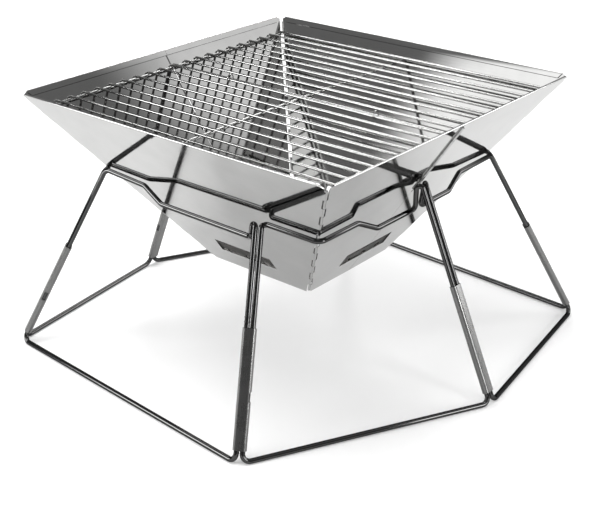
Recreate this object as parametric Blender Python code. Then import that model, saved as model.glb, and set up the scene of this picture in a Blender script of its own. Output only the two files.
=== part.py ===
"""Folding stainless fire basket: a square funnel of hinged sheet, held in six wire loops.

The origin is on the ground under the middle of the bowl, +Z up, in metres.
Two opposite walls of the bowl are rigid and two are split by a centre hinge, so it folds flat.
Six closed wire loops meet at six legs, where a crimped sleeve holds the two rods side by side.
"""

import math

import bmesh
import bpy
from mathutils import Matrix, Vector

# Bowl
RIM_SIDE = 0.450
MOUTH_SIDE = 0.1484
BOWL_DEPTH = 0.2164
RIM_HEIGHT = 0.319
SHEET = 0.001
HEM_WIDTH = 0.0075
HEM_STEP = SHEET + 0.0001
HEM_SETBACK = 0.0095
HEM_DROP = 0.0002
HEM_SINK = 0.0003
VENT_LENGTH = 0.086
VENT_HEIGHT = 0.022
VENT_RISE = 0.0325

# Sheet hinges
PIN_RADIUS = 0.0005
PIN_CLEARANCE = 0.0002
BARREL_WALL = 0.0006
KNUCKLE_PITCH = 0.0205
KNUCKLE_GAP = 0.0005
TAB_SHOULDER = 0.001
EDGE_CLEARANCE = 0.0005
CORNER_NOTCH = 0.010
CORNER_FOOT = 0.005
CREASE_END = 0.004
CREASE_LENGTH = 0.112
CREASE_RIM = 0.0030
SEAM_GAP = 0.0003
AXIS_MARGIN = 0.010
ROLL_CLEARANCE = 0.0001

# Wire frame
ROD_RADIUS = 0.003
CORNER_FOOT_REACH = RIM_SIDE / math.sqrt(2) + 0.031002
FRONT_FOOT_REACH = 0.0792
SIDE_FOOT_REACH = 0.0577
ROD_GAP = 0.0006
ROD_PITCH = 2 * ROD_RADIUS + ROD_GAP
APEX_HEIGHT = 0.330
FOOT_BEND = 0.008
FOOT_FLAT = 0.00015
RING_BEND = 0.009
RING_TOP = 0.0945
HOOK_TOP = 0.080
HOOK_TURN = math.radians(46.3)
HOOK_REACH = 2 * ROD_RADIUS + 0.0004
HOOK_BEND = HOOK_REACH / 2 - 0.0001

# Leg sleeves
SLEEVE_WALL = 0.0009
SLEEVE_CLEARANCE = 0.0004
SLEEVE_START = 0.0130
SLEEVE_LENGTH = 0.128
OPEN_LEG = "back"
OPEN_EDGE = 0.0014
SLEEVE_STEPS = 9
BITE_LENGTH = 0.0125
BITE_DEPTH = 0.0017
BITE_HEIGHT = 0.056

# Grate
GRATE_DROP = 0.016
GRATE_ROD = 0.0015
CROSSBAR_ROD = 0.0019
CROSSBAR_STUB = 0.0010
GRATE_RODS = 11
ROD_OVERHANG = 0.0040
GRATE_SIDES = 6
GRATE_HINGE_GAP = 0.0006
WELD_SINK = 0.0005
CORNER_MARGIN = 0.0045
FOLD_RISE = GRATE_ROD + 0.00015
RING_WIRE = 0.0006
RING_SIDES = 6
RING_STEPS = 12
RING_PLACES = (-0.110, 0.110)

# Coal pan
PAN_RISE = 0.0175
PAN_TOP = 0.0385
PAN_SHEET = 0.0012
PAN_CORNER = 0.009
PAN_GAP = 0.0002
PAN_HOLES = 5
PAN_HOLE_PITCH = 0.028
PAN_HOLE_RADIUS = 0.007
PAN_HOLE_SIDES = 8
PAN_HOLE_TURN = 0.17
PAN_SIDE_HOLE_RADIUS = 0.0055

GAP = 0.0003
BARREL_SIDES = 6
ROD_SIDES = 8

# Derived sizes
SLOPE = math.atan2((RIM_SIDE - MOUTH_SIDE) / 2, BOWL_DEPTH)
SLANT = math.hypot((RIM_SIDE - MOUTH_SIDE) / 2, BOWL_DEPTH)
EDGE_LEAN = math.atan2((RIM_SIDE - MOUTH_SIDE) / 2, SLANT)
EDGE_LENGTH = math.hypot((RIM_SIDE - MOUTH_SIDE) / 2, SLANT)
CORNER_ANGLE = math.acos(-math.sin(SLOPE) ** 2)
BORE_RADIUS = (PIN_RADIUS + PIN_CLEARANCE) / math.cos(math.pi / BARREL_SIDES)
BARREL_RADIUS = BORE_RADIUS + BARREL_WALL
AXIS_OFFSET = (PIN_RADIUS + PIN_CLEARANCE) + SHEET / 2 + ROLL_CLEARANCE
EDGE_SETBACK = BARREL_RADIUS + EDGE_CLEARANCE
CORNER_INSET = AXIS_OFFSET / math.tan(CORNER_ANGLE / 2)

# Compass heading of each leg in degrees, and how far its foot stands from the middle.
LEGS = {
    "left": (225.4, CORNER_FOOT_REACH),
    "front": (297.7, RIM_SIDE / 2 + FRONT_FOOT_REACH),
    "right": (359.5, RIM_SIDE / 2 + SIDE_FOOT_REACH),
    "far_right": (45.4, CORNER_FOOT_REACH),
    "back": (117.7, RIM_SIDE / 2 + FRONT_FOOT_REACH),
    "far_left": (179.5, RIM_SIDE / 2 + SIDE_FOOT_REACH),
}

STEEL = ("brushed_sheet", (0.62, 0.62, 0.61, 1.0), 0.28)
BRIGHT_WIRE = ("polished_wire", (0.55, 0.55, 0.55, 1.0), 0.12)
SATIN_TUBE = ("satin_sleeve", (0.48, 0.48, 0.47, 1.0), 0.38)
GRATE_WIRE = ("plated_grate", (0.78, 0.78, 0.77, 1.0), 0.15)
DARK_PAN = ("coal_pan", (0.36, 0.36, 0.36, 1.0), 0.45)


for leftover in list(bpy.data.objects):
    bpy.data.objects.remove(leftover, do_unlink=True)

basket = bpy.data.collections.new("fire_basket")
tools = bpy.data.collections.new("cutters")
bpy.context.scene.collection.children.link(basket)
bpy.context.scene.collection.children.link(tools)


def metal(look):
    """The material of one finish, made once."""
    name, colour, roughness = look
    found = bpy.data.materials.get(name)
    if found:
        return found
    material = bpy.data.materials.new(name)
    material.use_nodes = True
    shader = material.node_tree.nodes["Principled BSDF"]
    shader.inputs["Base Color"].default_value = colour
    shader.inputs["Metallic"].default_value = 1.0
    shader.inputs["Roughness"].default_value = roughness
    return material


def add_part(name, mesh, look, matrix=None):
    """A visible piece of the basket."""
    piece = bpy.data.objects.new(name, mesh)
    mesh.materials.clear()
    mesh.materials.append(metal(look))
    basket.objects.link(piece)
    if matrix is not None:
        piece.matrix_world = matrix
    mesh.shade_smooth()
    mesh.set_sharp_from_angle(angle=math.radians(35))
    return piece


def add_tool(name, mesh, matrix=None):
    """A hidden shape that is joined to a piece or cut from it."""
    tool = bpy.data.objects.new(name, mesh)
    tools.objects.link(tool)
    tool.hide_render = True
    tool.display_type = "WIRE"
    if matrix is not None:
        tool.matrix_world = matrix
    return tool


def combine(piece, tool, operation):
    """Joins or cuts a piece with a tool."""
    modifier = piece.modifiers.new(tool.name, "BOOLEAN")
    modifier.operation = operation
    modifier.object = tool


def mesh_of_curve(curve, name):
    """A closed mesh from a curve, with its loose caps welded on."""
    holder = bpy.data.objects.new(name, curve)
    bpy.context.scene.collection.objects.link(holder)
    bpy.context.view_layer.update()
    graph = bpy.context.evaluated_depsgraph_get()
    mesh = bpy.data.meshes.new_from_object(holder.evaluated_get(graph))
    bpy.data.objects.remove(holder, do_unlink=True)
    bpy.data.curves.remove(curve)
    shape = bmesh.new()
    shape.from_mesh(mesh)
    bmesh.ops.remove_doubles(shape, verts=shape.verts, dist=1e-6)
    bmesh.ops.recalc_face_normals(shape, faces=shape.faces)
    shape.to_mesh(mesh)
    shape.free()
    mesh.name = name
    return mesh


def plate(name, outlines, thickness):
    """A flat plate cut from its outline and any holes, centred on its own plane."""
    curve = bpy.data.curves.new(name, "CURVE")
    curve.dimensions = "2D"
    curve.fill_mode = "BOTH"
    curve.extrude = thickness / 2
    for outline in outlines:
        spline = curve.splines.new("POLY")
        spline.points.add(len(outline) - 1)
        for point, (x, y) in zip(spline.points, outline):
            point.co = (x, y, 0.0, 1.0)
        spline.use_cyclic_u = True
    return mesh_of_curve(curve, name)


def tube(name, points, radius, closed=False, sides=ROD_SIDES):
    """A round wire through the points."""
    curve = bpy.data.curves.new(name, "CURVE")
    curve.dimensions = "3D"
    curve.bevel_depth = radius
    curve.bevel_resolution = (sides - 4) // 2
    curve.use_fill_caps = not closed
    curve.twist_mode = "MINIMUM"
    spline = curve.splines.new("POLY")
    spline.points.add(len(points) - 1)
    for point, place in zip(spline.points, points):
        point.co = (*place, 1.0)
    spline.use_cyclic_u = closed
    return mesh_of_curve(curve, name)


def rods_along(lines, radius, sides):
    """One mesh holding a capped straight rod for each (start, end)."""
    shape = bmesh.new()
    for start, end in lines:
        start = Vector(start)
        end = Vector(end)
        turn = (end - start).to_track_quat("Z", "Y").to_matrix().to_4x4()
        half_turn = Matrix.Rotation(math.pi / sides, 4, "Z")
        place = Matrix.Translation((start + end) / 2) @ turn @ half_turn
        bmesh.ops.create_cone(
            shape,
            cap_ends=True,
            segments=sides,
            radius1=radius,
            radius2=radius,
            depth=(end - start).length,
            matrix=place,
        )
    mesh = bpy.data.meshes.new("rods")
    shape.to_mesh(mesh)
    shape.free()
    return mesh


def box_mesh(low, high):
    """A box between two corners."""
    low = Vector(low)
    high = Vector(high)
    size = high - low
    place = Matrix.Translation((low + high) / 2) @ Matrix.Diagonal((*size, 1.0))
    shape = bmesh.new()
    bmesh.ops.create_cube(shape, size=1.0, matrix=place)
    mesh = bpy.data.meshes.new("box")
    shape.to_mesh(mesh)
    shape.free()
    return mesh


# Bowl walls. A wall's own frame has X along the rim, Y up the slope, Z outward, and the origin
# at the middle of its rim line, on the middle of the sheet.


def wall_frame(heading):
    """Where a wall stands, from the compass heading of its outward side in degrees."""
    out = Vector((math.cos(math.radians(heading)), math.sin(math.radians(heading)), 0.0))
    along = Vector((-out.y, out.x, 0.0))
    normal = out * math.cos(SLOPE) - Vector((0.0, 0.0, math.sin(SLOPE)))
    up = normal.cross(along)
    matrix = Matrix((along, up, normal)).transposed().to_4x4()
    matrix.translation = out * RIM_SIDE / 2 + Vector((0.0, 0.0, RIM_HEIGHT))
    return matrix


def corner_edge(side, down, inward):
    """A point by a corner hinge: side is +1 or -1, down runs along the edge from the rim."""
    lean = math.sin(EDGE_LEAN)
    rise = math.cos(EDGE_LEAN)
    reach = CORNER_INSET + inward
    x = RIM_SIDE / 2 - down * lean - reach * rise
    y = -down * rise + reach * lean
    return side * x, y


def crease_edge(side, down, inward):
    """A point by the centre hinge of a split wall; side tells which half."""
    return side * inward, -down


def knuckles(length, start, end, first):
    """The (start, end) of every second knuckle along a hinge."""
    count = round((length - start - end) / KNUCKLE_PITCH)
    pitch = (length - start - end) / count
    found = []
    for index in range(first, count, 2):
        low = start + index * pitch + KNUCKLE_GAP / 2
        found.append((low, low + pitch - KNUCKLE_GAP))
    return found


def toothed_edge(place, side, length, spans, notch):
    """The points of a hinged edge from the rim down, with a tab at every knuckle."""
    points = [place(side, notch, EDGE_SETBACK)]
    for low, high in spans:
        tab_low = low + TAB_SHOULDER
        tab_high = high - TAB_SHOULDER
        points += [
            place(side, tab_low, EDGE_SETBACK),
            place(side, tab_low, 0.0),
            place(side, tab_high, 0.0),
            place(side, tab_high, EDGE_SETBACK),
        ]
    points.append(place(side, length, EDGE_SETBACK))
    return points


def clip_to_wall(points):
    """Keeps an edge between the rim and the mouth."""
    return [(x, min(0.0, max(-SLANT, y))) for x, y in points]


def corner_spans(first):
    return knuckles(EDGE_LENGTH, CORNER_NOTCH, CORNER_FOOT, first)


def crease_spans(first):
    return knuckles(CREASE_LENGTH, CREASE_END, CREASE_END, first)


def seam_edge(side, spans):
    """The centre edge of a split wall: hinged at the top, then a close seam with half of the vent."""
    close = side * SEAM_GAP
    reach = side * VENT_LENGTH / 2
    vent_low = -SLANT + VENT_RISE
    vent_top = vent_low + VENT_HEIGHT
    points = [(close, 0.0), (close, -CREASE_RIM)]
    points += toothed_edge(crease_edge, side, CREASE_LENGTH, spans, CREASE_RIM)
    points += [(close, -CREASE_LENGTH), (close, vent_top), (reach, vent_top)]
    return points + [(reach, vent_low), (close, vent_low), (close, -SLANT)]


def barrel_lines(place, side, spans, depth):
    """The axis of each knuckle in the wall's frame. depth is how far out of the sheet it lies."""
    lines = []
    for low, high in spans:
        lines.append(((*place(side, low, 0.0), depth), (*place(side, high, 0.0), depth)))
    return lines


def full_axis(place, side, length, depth, margin):
    start = place(side, -margin, 0.0)
    end = place(side, length + margin, 0.0)
    return (*start, depth), (*end, depth)


def vent_hole(low, high):
    """The slot above the mouth, between two places along the wall."""
    bottom = -SLANT + VENT_RISE
    return [(low, bottom), (high, bottom), (high, bottom + VENT_HEIGHT), (low, bottom + VENT_HEIGHT)]


def finish_wall(wall, matrix, barrels, bores, hem):
    """Adds a wall's hem and knuckles, then bores the knuckles."""
    combine(wall, add_tool(wall.name + "_hem", box_mesh(*hem), matrix), "UNION")
    solid = rods_along(barrels, BARREL_RADIUS, BARREL_SIDES)
    combine(wall, add_tool(wall.name + "_barrels", solid, matrix), "UNION")
    hollow = rods_along(bores, BORE_RADIUS, BARREL_SIDES)
    combine(wall, add_tool(wall.name + "_bores", hollow, matrix), "DIFFERENCE")


def hem_box(low, high):
    return (
        (low, -HEM_WIDTH, -SHEET / 2 - HEM_STEP),
        (high, -HEM_DROP, -SHEET / 2 + HEM_SINK),
    )


def rigid_wall(name, heading, firsts):
    """A whole wall with a knuckled edge at each end."""
    matrix = wall_frame(heading)
    right = corner_spans(firsts[0])
    left = corner_spans(firsts[1])
    edge_right = clip_to_wall(toothed_edge(corner_edge, 1, EDGE_LENGTH, right, CORNER_NOTCH / 2))
    edge_left = clip_to_wall(toothed_edge(corner_edge, -1, EDGE_LENGTH, left, CORNER_NOTCH / 2))
    rim = RIM_SIDE / 2 - HEM_SETBACK
    outline = [(-rim, 0.0), (rim, 0.0)] + edge_right + edge_left[::-1]
    hole = vent_hole(-VENT_LENGTH / 2, VENT_LENGTH / 2)
    wall = add_part(name, plate(name, [outline, hole], SHEET), STEEL, matrix)
    barrels = barrel_lines(corner_edge, 1, right, -AXIS_OFFSET)
    barrels += barrel_lines(corner_edge, -1, left, -AXIS_OFFSET)
    bores = [
        full_axis(corner_edge, 1, EDGE_LENGTH, -AXIS_OFFSET, AXIS_MARGIN),
        full_axis(corner_edge, -1, EDGE_LENGTH, -AXIS_OFFSET, AXIS_MARGIN),
    ]
    finish_wall(wall, matrix, barrels, bores, hem_box(-rim, rim))


def half_wall(name, heading, side, corner_first, crease_first):
    """Half of a split wall: a corner hinge on its outer edge and the centre hinge on its inner.

    With corner_first None the outer edge is plain, and comes away from its neighbour in the fold.
    """
    matrix = wall_frame(heading)
    outer = [] if corner_first is None else corner_spans(corner_first)
    inner = crease_spans(crease_first)
    edge_outer = clip_to_wall(toothed_edge(corner_edge, side, EDGE_LENGTH, outer, CORNER_NOTCH / 2))
    edge_inner = seam_edge(side, inner)
    rim = RIM_SIDE / 2 - HEM_SETBACK
    outline = [(side * rim, 0.0)] + edge_outer + edge_inner[::-1]
    wall = add_part(name, plate(name, [outline], SHEET), STEEL, matrix)
    barrels = barrel_lines(corner_edge, side, outer, -AXIS_OFFSET)
    barrels += barrel_lines(crease_edge, side, inner, AXIS_OFFSET)
    bores = [
        full_axis(corner_edge, side, EDGE_LENGTH, -AXIS_OFFSET, AXIS_MARGIN),
        full_axis(crease_edge, side, CREASE_LENGTH, AXIS_OFFSET, AXIS_MARGIN),
    ]
    hem_start, hem_end = sorted((side * SEAM_GAP, side * rim))
    finish_wall(wall, matrix, barrels, bores, hem_box(hem_start, hem_end))


def hinge_pin(name, heading, place, side, length, depth, start, end):
    """A pin through all the knuckles of one hinge."""
    matrix = wall_frame(heading)
    low = (*place(side, start, 0.0), depth)
    high = (*place(side, length - end, 0.0), depth)
    add_part(name, rods_along([(low, high)], PIN_RADIUS, BARREL_SIDES), STEEL, matrix)


FRONT, RIGHT, BACK, LEFT = 270, 0, 90, 180


def bowl():
    """Two rigid walls, four half walls and the pins between them."""
    rigid_wall("front_wall", FRONT, (0, 1))
    rigid_wall("back_wall", BACK, (0, 1))
    half_wall("right_wall_near", RIGHT, -1, 1, 0)
    half_wall("right_wall_far", RIGHT, 1, 0, 1)
    half_wall("left_wall_near", LEFT, 1, 0, 1)
    half_wall("left_wall_far", LEFT, -1, None, 0)
    notch = CORNER_NOTCH
    hinge_pin("front_corner_pin", FRONT, corner_edge, 1, EDGE_LENGTH, -AXIS_OFFSET, notch, CORNER_FOOT)
    hinge_pin("left_corner_pin", FRONT, corner_edge, -1, EDGE_LENGTH, -AXIS_OFFSET, notch, CORNER_FOOT)
    hinge_pin("far_corner_pin", BACK, corner_edge, -1, EDGE_LENGTH, -AXIS_OFFSET, notch, CORNER_FOOT)
    hinge_pin("right_crease_pin", RIGHT, crease_edge, 1, CREASE_LENGTH, AXIS_OFFSET, CREASE_END, CREASE_END)
    hinge_pin("left_crease_pin", LEFT, crease_edge, 1, CREASE_LENGTH, AXIS_OFFSET, CREASE_END, CREASE_END)


bowl()


# Wire frame. A leg is a straight line from the ground towards a point high over the bowl, and
# its two rods lie a pitch apart across that line.


def on_leg(leg, side, drop):
    """A rod's middle on a leg, at a drop below the rim. side is -1 or +1, counter-clockwise."""
    heading = math.radians(LEGS[leg][0])
    reach = LEGS[leg][1] * (APEX_HEIGHT + drop) / (APEX_HEIGHT + RIM_HEIGHT)
    out = Vector((math.cos(heading), math.sin(heading), 0.0))
    across = Vector((-out.y, out.x, 0.0))
    return out * reach + across * side * ROD_PITCH / 2 + Vector((0.0, 0.0, RIM_HEIGHT - drop))


def behind_leg(leg, side, drop, turn):
    """Where a rod comes up behind its leg, turned aside from straight behind it."""
    heading = math.radians(LEGS[leg][0])
    out = Vector((math.cos(heading), math.sin(heading), 0.0))
    across = Vector((-out.y, out.x, 0.0))
    aside = across * side * math.sin(turn) - out * math.cos(turn)
    return on_leg(leg, side, drop) + aside * HOOK_REACH


def beside_wall(heading, along, drop, clear):
    """A rod's middle that lies a clear distance outside a wall, at a drop below the rim."""
    matrix = wall_frame(heading)
    standoff = (SHEET / 2 + clear + ROD_RADIUS) / math.cos(SLOPE)
    out = matrix.to_3x3() @ Vector((0.0, 0.0, 1.0))
    out.z = 0.0
    out.normalize()
    reach = RIM_SIDE / 2 - drop * math.tan(SLOPE) + standoff
    place = out * reach + matrix.to_3x3() @ Vector((along, 0.0, 0.0))
    place.z = RIM_HEIGHT - drop
    return place


def beside_corner(first, second, drop, clear):
    """Where a rod that follows one wall turns to follow the next."""
    one = beside_wall(first, 0.0, drop, clear)
    two = beside_wall(second, 0.0, drop, clear)
    return Vector((one.x + two.x, one.y + two.y, RIM_HEIGHT - drop))


def rounded(route, steps_per_turn=14):
    """A closed route of (point, bend radius) with an arc in place of each corner."""
    points = []
    count = len(route)
    for index, (corner, radius) in enumerate(route):
        before = route[index - 1][0]
        after = route[(index + 1) % count][0]
        back = (before - corner).normalized()
        ahead = (after - corner).normalized()
        angle = back.angle(ahead)
        room = 0.49 * min((before - corner).length, (after - corner).length)
        reach = min(radius / math.tan(angle / 2), room)
        bend = reach * math.tan(angle / 2)
        middle = corner + (back + ahead).normalized() * bend / math.sin(angle / 2)
        start = corner + back * reach - middle
        end = corner + ahead * reach - middle
        sweep = math.pi - angle
        steps = max(2, math.ceil(steps_per_turn * sweep / (2 * math.pi)))
        for step in range(steps + 1):
            share = step / steps
            arm = start * math.sin((1 - share) * sweep) + end * math.sin(share * sweep)
            points.append(middle + arm / math.sin(sweep))
    return points


GROUND_LINE = RIM_HEIGHT - ROD_RADIUS + FOOT_FLAT


def loop_route(first_leg, last_leg, ring):
    """Up the first leg, round the ring, down the last leg and back along the ground."""
    route = [(on_leg(first_leg, 1, GROUND_LINE), FOOT_BEND)]
    route += ring
    route += [(on_leg(last_leg, -1, GROUND_LINE), FOOT_BEND)]
    return route


# The bends of each ring between its two legs, in order. A row is the wall the rod runs beside, how
# far along that wall, the drop below the rim, the clearance from the sheet, and the bend radius.
FRONT_RING = (
    (FRONT, -0.095, 0.0995, 0.0020, 0.012),
    (FRONT, -0.062, 0.1116, 0.0140, 0.010),
    (FRONT, 0.0735, 0.1122, 0.0145, 0.006),
)
NEAR_RING = (
    (RIGHT, -0.105, 0.0922, 0.0026, 0.012),
    (RIGHT, -0.0765, 0.1066, 0.0140, 0.010),
    (RIGHT, -0.0055, 0.1080, 0.0140, 0.005),
)
FAR_RING = (
    (RIGHT, 0.0040, 0.1080, 0.0140, 0.005),
    (RIGHT, 0.0603, 0.1085, 0.0140, 0.010),
    (RIGHT, 0.0882, 0.0955, 0.0026, 0.012),
)
FRONT_LEG_TOP = RING_TOP - 0.0025
FRONT_LEG_RISE = 0.0120
FRONT_HOOK_TURN = math.radians(43)
FAR_LEG_TOP = RING_TOP + 0.0020
CORNER_DROP = 0.0922
CORNER_CLEAR = 0.0020


def bends(rows):
    """The rows of a ring as (point, bend radius)."""
    return [(beside_wall(wall, along, drop, clear), bend) for wall, along, drop, clear, bend in rows]


def ring_of_front_loop():
    ring = [(on_leg("left", 1, RING_TOP), RING_BEND)]
    ring += bends(FRONT_RING)
    ring.append((behind_leg("front", -1, FRONT_LEG_TOP + FRONT_LEG_RISE, FRONT_HOOK_TURN), HOOK_BEND))
    ring.append((behind_leg("front", -1, FRONT_LEG_TOP, FRONT_HOOK_TURN), HOOK_BEND))
    ring.append((on_leg("front", -1, FRONT_LEG_TOP), HOOK_BEND))
    return ring


def ring_of_near_loop():
    ring = [
        (on_leg("front", 1, FRONT_LEG_TOP), HOOK_BEND),
        (behind_leg("front", 1, FRONT_LEG_TOP, FRONT_HOOK_TURN), HOOK_BEND),
        (beside_corner(FRONT, RIGHT, CORNER_DROP, CORNER_CLEAR), RING_BEND),
    ]
    ring += bends(NEAR_RING)
    ring.append((behind_leg("right", -1, HOOK_TOP, HOOK_TURN), HOOK_BEND))
    ring.append((on_leg("right", -1, HOOK_TOP), HOOK_BEND))
    return ring


def ring_of_far_loop():
    ring = [
        (on_leg("right", 1, HOOK_TOP), HOOK_BEND),
        (behind_leg("right", 1, HOOK_TOP, HOOK_TURN), HOOK_BEND),
    ]
    ring += bends(FAR_RING)
    ring.append((on_leg("far_right", -1, FAR_LEG_TOP), RING_BEND))
    return ring


def wire_loops():
    """Three loops and their copies half a turn round, each filed flat where it rests."""
    floor = add_tool("floor_cut", box_mesh((-1.0, -1.0, -0.1), (1.0, 1.0, 0.0)))
    half_turn = Matrix.Rotation(math.pi, 4, "Z")
    routes = {
        ("front_loop", "back_loop"): loop_route("left", "front", ring_of_front_loop()),
        ("right_near_loop", "left_far_loop"): loop_route("front", "right", ring_of_near_loop()),
        ("right_far_loop", "left_near_loop"): loop_route("right", "far_right", ring_of_far_loop()),
    }
    for names, route in routes.items():
        points = rounded(route)
        for name, matrix in zip(names, (Matrix.Identity(4), half_turn)):
            mesh = tube(name, points, ROD_RADIUS, closed=True)
            loop = add_part(name, mesh, BRIGHT_WIRE, matrix)
            combine(loop, floor, "DIFFERENCE")


def half_round(side, radius, steps=SLEEVE_STEPS):
    """Half a turn about one rod of a sleeve, on the side away from the other rod."""
    points = []
    for step in range(steps + 1):
        angle = side * math.pi * (step / steps - 0.5)
        x = side * (ROD_PITCH / 2 + radius * math.cos(angle))
        points.append((x, radius * math.sin(angle)))
    return points


def sleeve_outlines(is_open):
    """Two half rounds joined by flat sides. An open sleeve grips one rod and clears the other."""
    bore = ROD_RADIUS + SLEEVE_CLEARANCE
    outer = bore + SLEEVE_WALL
    if not is_open:
        rim = half_round(1, outer) + half_round(-1, outer)
        return [rim, half_round(1, bore) + half_round(-1, bore)]
    rim = [(OPEN_EDGE, outer)] + half_round(-1, outer) + [(OPEN_EDGE, -outer)]
    return [rim + [(OPEN_EDGE, -bore)] + half_round(-1, bore)[::-1] + [(OPEN_EDGE, bore)]]


def bite_mesh():
    """A cutter with rounded ends for the bite in a sleeve's edge, in the sleeve's own frame."""
    reach = ROD_PITCH / 2 + ROD_RADIUS + SLEEVE_CLEARANCE + SLEEVE_WALL
    half = BITE_LENGTH / 2 - BITE_DEPTH
    low = reach - BITE_DEPTH
    high = reach + BITE_DEPTH
    outline = [
        (low, half), (low, -half), (reach, -half - BITE_DEPTH), (high, -half - BITE_DEPTH),
        (high, half + BITE_DEPTH), (reach, half + BITE_DEPTH),
    ]
    mesh = plate("bite", [outline], 4 * reach)
    mesh.transform(Matrix.Rotation(math.pi / 2, 4, "X"))
    mesh.transform(Matrix.Translation((0.0, 0.0, BITE_HEIGHT - SLEEVE_LENGTH / 2)))
    return mesh


def leg_sleeves():
    """A crimped tube on the lower part of each leg."""
    for leg in LEGS:
        low = (on_leg(leg, -1, GROUND_LINE) + on_leg(leg, 1, GROUND_LINE)) / 2
        high = (on_leg(leg, -1, RING_TOP) + on_leg(leg, 1, RING_TOP)) / 2
        axis = (high - low).normalized()
        across = (on_leg(leg, 1, RING_TOP) - on_leg(leg, -1, RING_TOP)).normalized()
        matrix = Matrix((across, axis.cross(across), axis)).transposed().to_4x4()
        matrix.translation = low + axis * (SLEEVE_START + SLEEVE_LENGTH / 2)
        is_open = leg == OPEN_LEG
        sleeve = plate(leg, sleeve_outlines(is_open), SLEEVE_LENGTH)
        sleeve = add_part(leg + "_sleeve", sleeve, SATIN_TUBE, matrix)
        if not is_open:
            combine(sleeve, add_tool(leg + "_bite", bite_mesh(), matrix), "DIFFERENCE")


wire_loops()
leg_sleeves()


# Grate. Two halves of parallel rods welded on crossbars, meeting on the middle line.

GRATE_Z = RIM_HEIGHT - GRATE_DROP
CROSSBAR_Z = GRATE_Z - GRATE_ROD - CROSSBAR_ROD + WELD_SINK


def inside_bowl(height):
    """How far out the bowl is open at a height, from the middle to the sheet less a gap."""
    drop = RIM_HEIGHT - height
    return RIM_SIDE / 2 - drop * math.tan(SLOPE) - (SHEET / 2 + GAP) / math.cos(SLOPE)


ROD_REACH = inside_bowl(GRATE_Z - GRATE_ROD)
BAR_REACH = inside_bowl(CROSSBAR_Z - CROSSBAR_ROD)
EDGE_ROD = GRATE_ROD + GRATE_HINGE_GAP / 2


def grate_half(name, side):
    """Rods along X over three crossbars. side is -1 for the front half."""
    outermost = BAR_REACH - CORNER_MARGIN
    step = (outermost - EDGE_ROD) / (GRATE_RODS - 1)
    rods = []
    for index in range(GRATE_RODS):
        y = side * (EDGE_ROD + step * index)
        rods.append(((-ROD_REACH, y, GRATE_Z), (ROD_REACH, y, GRATE_Z)))
    bars = []
    bar_x = ROD_REACH - ROD_OVERHANG
    for x, reach in ((-bar_x, outermost), (0.0, BAR_REACH), (bar_x, outermost)):
        bars.append(((x, side * (EDGE_ROD - CROSSBAR_STUB), CROSSBAR_Z), (x, side * reach, CROSSBAR_Z)))
    half = add_part(name, rods_along(rods, GRATE_ROD, GRATE_SIDES), GRATE_WIRE)
    combine(half, add_tool(name + "_bars", rods_along(bars, CROSSBAR_ROD, GRATE_SIDES)), "UNION")


def grate_rings():
    """Loose rings that hold the two middle rods together and let the halves fold."""
    swing = math.hypot(EDGE_ROD, FOLD_RISE)
    bore = swing + GRATE_ROD + GAP
    middle = bore + RING_WIRE / math.cos(math.pi / RING_SIDES)
    for name, x in zip(("left_grate_ring", "right_grate_ring"), RING_PLACES):
        points = []
        for step in range(RING_STEPS):
            angle = 2 * math.pi * step / RING_STEPS
            reach = middle / math.cos(math.pi / RING_STEPS)
            y = reach * math.cos(angle)
            z = GRATE_Z + FOLD_RISE + reach * math.sin(angle)
            points.append(Vector((x, y, z)))
        add_part(name, tube(name, points, RING_WIRE, closed=True, sides=RING_SIDES), GRATE_WIRE)


def hole(x, y, radius):
    points = []
    for step in range(PAN_HOLE_SIDES):
        angle = PAN_HOLE_TURN + 2 * math.pi * step / PAN_HOLE_SIDES
        points.append((x + radius * math.cos(angle), y + radius * math.sin(angle)))
    return points


def hole_places():
    first = -(PAN_HOLES - 1) / 2 * PAN_HOLE_PITCH
    return [first + index * PAN_HOLE_PITCH for index in range(PAN_HOLES)]


def pan_side(heading):
    """One pierced side of the coal pan, lying along a wall."""
    standoff = SHEET / 2 + GAP + PAN_SHEET / 2
    low = -(BOWL_DEPTH - PAN_RISE) / math.cos(SLOPE) - standoff * math.tan(SLOPE)
    high = -(BOWL_DEPTH - PAN_TOP) / math.cos(SLOPE)
    wide = RIM_SIDE / 2 + high * math.tan(EDGE_LEAN) - PAN_CORNER
    narrow = RIM_SIDE / 2 + low * math.tan(EDGE_LEAN) - PAN_CORNER
    outlines = [[(-narrow, low), (narrow, low), (wide, high), (-wide, high)]]
    outlines += [hole(x, (low + high) / 2, PAN_SIDE_HOLE_RADIUS) for x in hole_places()]
    inward = Matrix.Translation((0.0, 0.0, -standoff))
    side = plate("pan_side", outlines, PAN_SHEET)
    return add_tool(f"pan_side_{heading}", side, wall_frame(heading) @ inward)


def coal_pan():
    """A pierced pan that rests between the walls, with its rim across the vents."""
    height = RIM_HEIGHT - BOWL_DEPTH + PAN_RISE
    reach = inside_bowl(height - PAN_SHEET / 2) - PAN_GAP
    cut = reach - PAN_CORNER
    outlines = [
        [
            (-cut, -reach), (cut, -reach), (reach, -cut), (reach, cut),
            (cut, reach), (-cut, reach), (-reach, cut), (-reach, -cut),
        ]
    ]
    outlines += [hole(x, y, PAN_HOLE_RADIUS) for x in hole_places() for y in hole_places()]
    place = Matrix.Translation((0.0, 0.0, height))
    pan = add_part("coal_pan", plate("coal_pan", outlines, PAN_SHEET), DARK_PAN, place)
    for heading in (FRONT, RIGHT, BACK, LEFT):
        combine(pan, pan_side(heading), "UNION")


grate_half("grate_front_half", -1)
grate_half("grate_back_half", 1)
grate_rings()
coal_pan()
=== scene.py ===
"""Looks of a folding stainless fire basket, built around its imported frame.

Everything is in metres. The origin is on the ground under the middle of the bowl, +Z is up,
and the rims of the two rigid walls run along X.
"""

import math

import bmesh
import bpy
from mathutils import Matrix, Vector


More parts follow.
